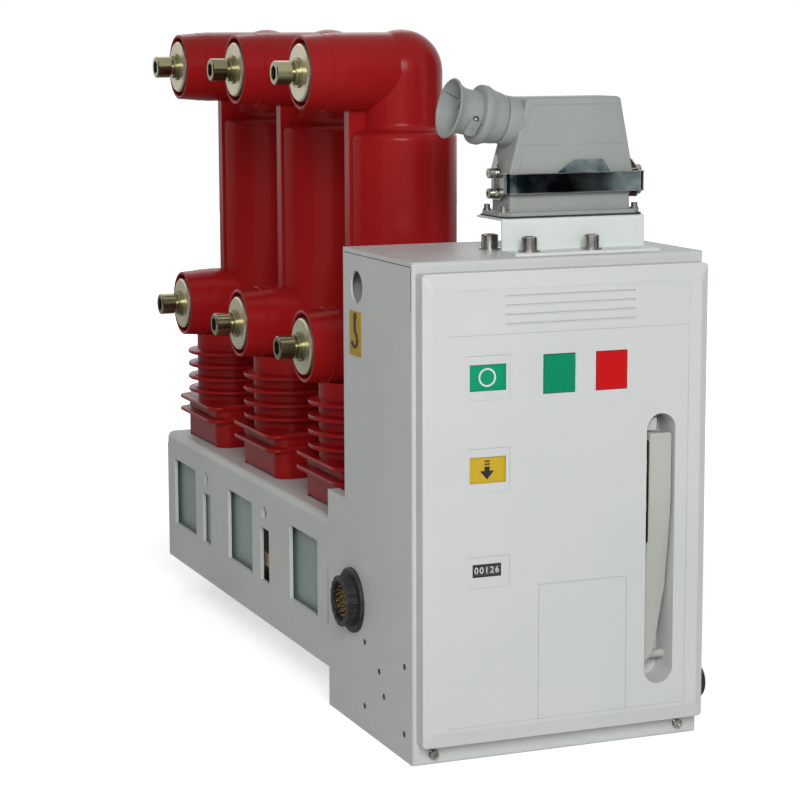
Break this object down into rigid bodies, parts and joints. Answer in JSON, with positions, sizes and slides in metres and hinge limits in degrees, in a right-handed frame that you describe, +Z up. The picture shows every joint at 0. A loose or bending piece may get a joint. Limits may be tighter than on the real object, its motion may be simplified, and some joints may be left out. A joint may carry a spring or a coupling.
{
  "type": "indoor vacuum circuit breaker",
  "caption": "Side-mounted indoor vacuum circuit breaker: cast poles in a row on a sheet base, mechanism box in front, plug connector on top.",
  "frame": {"origin": "in the plane of the base's underside, at the centre of its four fixing holes, level with the middle pole", "axes": "+Z up, -Y towards the operating face of the mechanism box, -X towards the terminals"},
  "size_m": [0.347, 0.815, 0.6743],
  "materials": {
    "box_paint": "white powder coat",
    "cover_plastic": "light grey moulded, fine grain",
    "flag_plate": "two printed fields",
    "black_plastic": "black moulded",
    "green_plastic": "green moulded",
    "red_plastic": "red moulded",
    "lever_paint": "light grey paint",
    "zinc_steel": "zinc plated",
    "connector_grey": "grey painted die casting",
    "base_sheet": "zinc coated sheet, dull",
    "silver_plate": "silver plated copper",
    "red_epoxy": "cast epoxy resin, dark red"
  },
  "bodies": {
    "root": {"front_panel": "box_paint", "left_side_wall": "box_paint", "right_side_wall": "box_paint", "top_panel": "box_paint", "rear_panel": "box_paint", "bottom_panel": "box_paint", "front_cover": "cover_plastic", "flag_guides": "black_plastic", "counter": "black_plastic", "lever_pin": "zinc_steel", "control_socket": "black_plastic", "side_plug": "black_plastic", "connector_bracket": "box_paint", "connector_housing": "connector_grey", "connector_hood": "connector_grey", "cable_gland": "connector_grey", "gland_clamp": "connector_grey", "base_deck": "base_sheet", "base_wall_left": "base_sheet", "base_wall_right": "base_sheet", "base_end_wall": "base_sheet", "pole_supports_left": "base_sheet", "pole_supports_right": "base_sheet", "base_tie": "base_sheet", "main_shaft": "zinc_steel", "upper_contacts": "silver_plate", "lower_contacts": "silver_plate", "upper_terminal_screws": "zinc_steel", "lower_terminal_screws": "zinc_steel", "pole_body_1": "red_epoxy", "pole_body_2": "red_epoxy", "pole_body_3": "red_epoxy"},
    "position_flag": {"position_flag": "flag_plate"},
    "charge_flag": {"charge_flag": "flag_plate"},
    "close_button": {"close_button": "green_plastic"},
    "trip_button": {"trip_button": "red_plastic"},
    "charging_lever": {"charging_lever": "lever_paint"},
    "locking_lever": {"locking_lever": "zinc_steel"}
  },
  "joints": [
    {"name": "close_push", "type": "slide", "parent": "root", "child": "close_button", "axis": [0, 1, 0], "range_m": [0, 0.006], "stiffness_N_per_m": 300},
    {"name": "trip_push", "type": "slide", "parent": "root", "child": "trip_button", "axis": [0, 1, 0], "range_m": [0, 0.006], "stiffness_N_per_m": 300},
    {"name": "position_slide", "type": "slide", "parent": "root", "child": "position_flag", "axis": [0, 0, -1], "range_m": [0, 0.027]},
    {"name": "charge_slide", "type": "slide", "parent": "root", "child": "charge_flag", "axis": [0, 0, -1], "range_m": [0, 0.027]},
    {"name": "charging_hinge", "type": "hinge", "parent": "root", "child": "charging_lever", "pos_m": [0.0962, -0.4974, 0.0442], "axis": [1, 0, 0], "range_deg": [0, 60]},
    {"name": "locking_hinge", "type": "hinge", "parent": "root", "child": "locking_lever", "pos_m": [0.0354, -0.4259, 0.4842], "axis": [1, 0, 0], "range_deg": [0, 20]}
  ]
}
